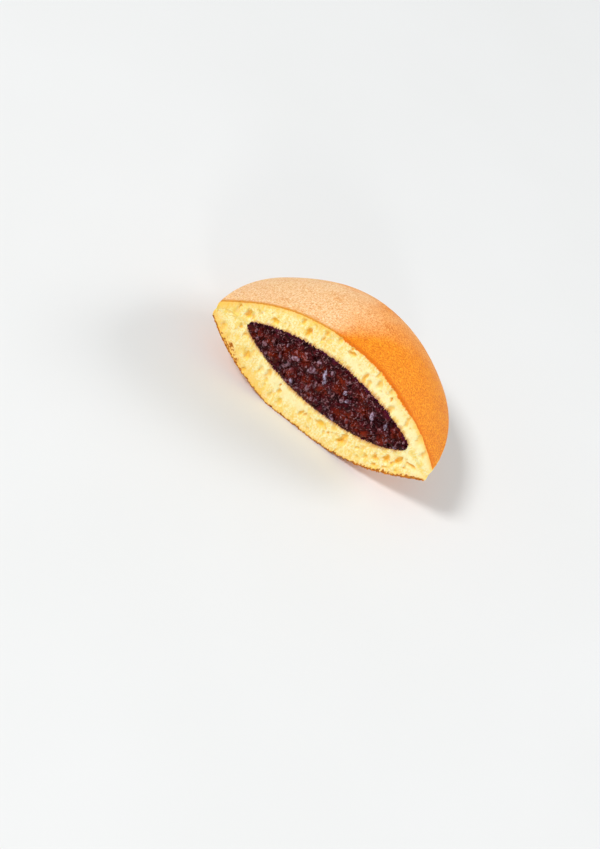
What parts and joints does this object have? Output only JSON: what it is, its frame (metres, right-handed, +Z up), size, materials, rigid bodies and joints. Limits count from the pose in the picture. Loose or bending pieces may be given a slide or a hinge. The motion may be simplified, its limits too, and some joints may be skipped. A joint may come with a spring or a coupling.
{
  "type": "cut dorayaki",
  "caption": "Cut dorayaki lying on its lower pancake: domed sponge pancakes that meet in a thin rim round a lens of coarse sweet bean paste, all shown by the upright knife cut.",
  "frame": {"origin": "middle of the bounding box's underside, which is the plane of the flat that the half lies on", "axes": "+X along the cut, from the left end of the cut to the right end as the cut is looked at; +Y from the cut to the round back; +Z up"},
  "size_m": [0.0974, 0.0534, 0.0496],
  "materials": {
    "top_sponge": "baked sponge, golden brown skin over pale cream crumb",
    "bottom_sponge": "baked sponge, golden brown skin over pale cream crumb",
    "bean_paste": "moist, glossy, coarse with beans"
  },
  "bodies": {
    "root": {"top_pancake": "top_sponge", "bottom_pancake": "bottom_sponge", "bean_paste": "bean_paste"}
  },
  "joints": []
}
